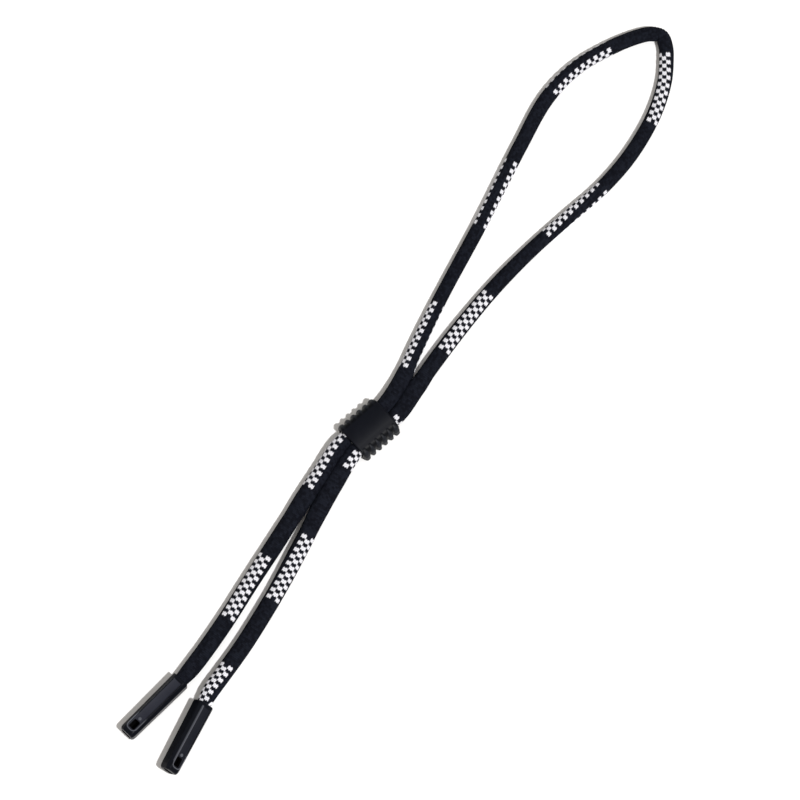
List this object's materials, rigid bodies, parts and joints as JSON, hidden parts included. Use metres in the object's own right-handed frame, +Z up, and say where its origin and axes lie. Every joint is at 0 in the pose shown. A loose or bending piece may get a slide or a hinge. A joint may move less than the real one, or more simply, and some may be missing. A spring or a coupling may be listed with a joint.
{
  "type": "eyeglasses strap",
  "caption": "Limp tubular strap doubled into a loop through a ribbed sliding bead, with a moulded grip on each end for the tip of a glasses arm.",
  "frame": {"origin": "middle of the slider's flat underside, on the surface that the strap lies on", "axes": "+Y along the strap from the grips to the top of the loop, +X to the right seen from above, +Z up"},
  "size_m": [0.0389, 0.3049, 0.0072],
  "materials": {
    "knit_fabric": "matte knitted polyester, black with a white geometric band of stitches",
    "moulded_plastic": "satin black moulding",
    "grip_rubber": "satin black moulding"
  },
  "bodies": {
    "strap": {"strap": "knit_fabric"},
    "slider": {"slider": "moulded_plastic"},
    "left_grip": {"left_grip": "grip_rubber"},
    "right_grip": {"right_grip": "grip_rubber"}
  },
  "joints": [
    {"name": "slider_slide", "type": "slide", "parent": "strap", "child": "slider", "axis": [0, 1, 0], "range_m": [-0.04, 0.07], "deforming": ["strap"]},
    {"name": "left_grip_swing", "type": "hinge", "parent": "strap", "child": "left_grip", "pos_m": [-0.0002, -0.1012, 0.0026], "axis": [0, 0, 1], "range_deg": [-35, 10], "deforming": ["strap"]},
    {"name": "right_grip_swing", "type": "hinge", "parent": "strap", "child": "right_grip", "pos_m": [0.0097, -0.1035, 0.0031], "axis": [0, 0, 1], "range_deg": [-10, 35], "deforming": ["strap"]}
  ]
}
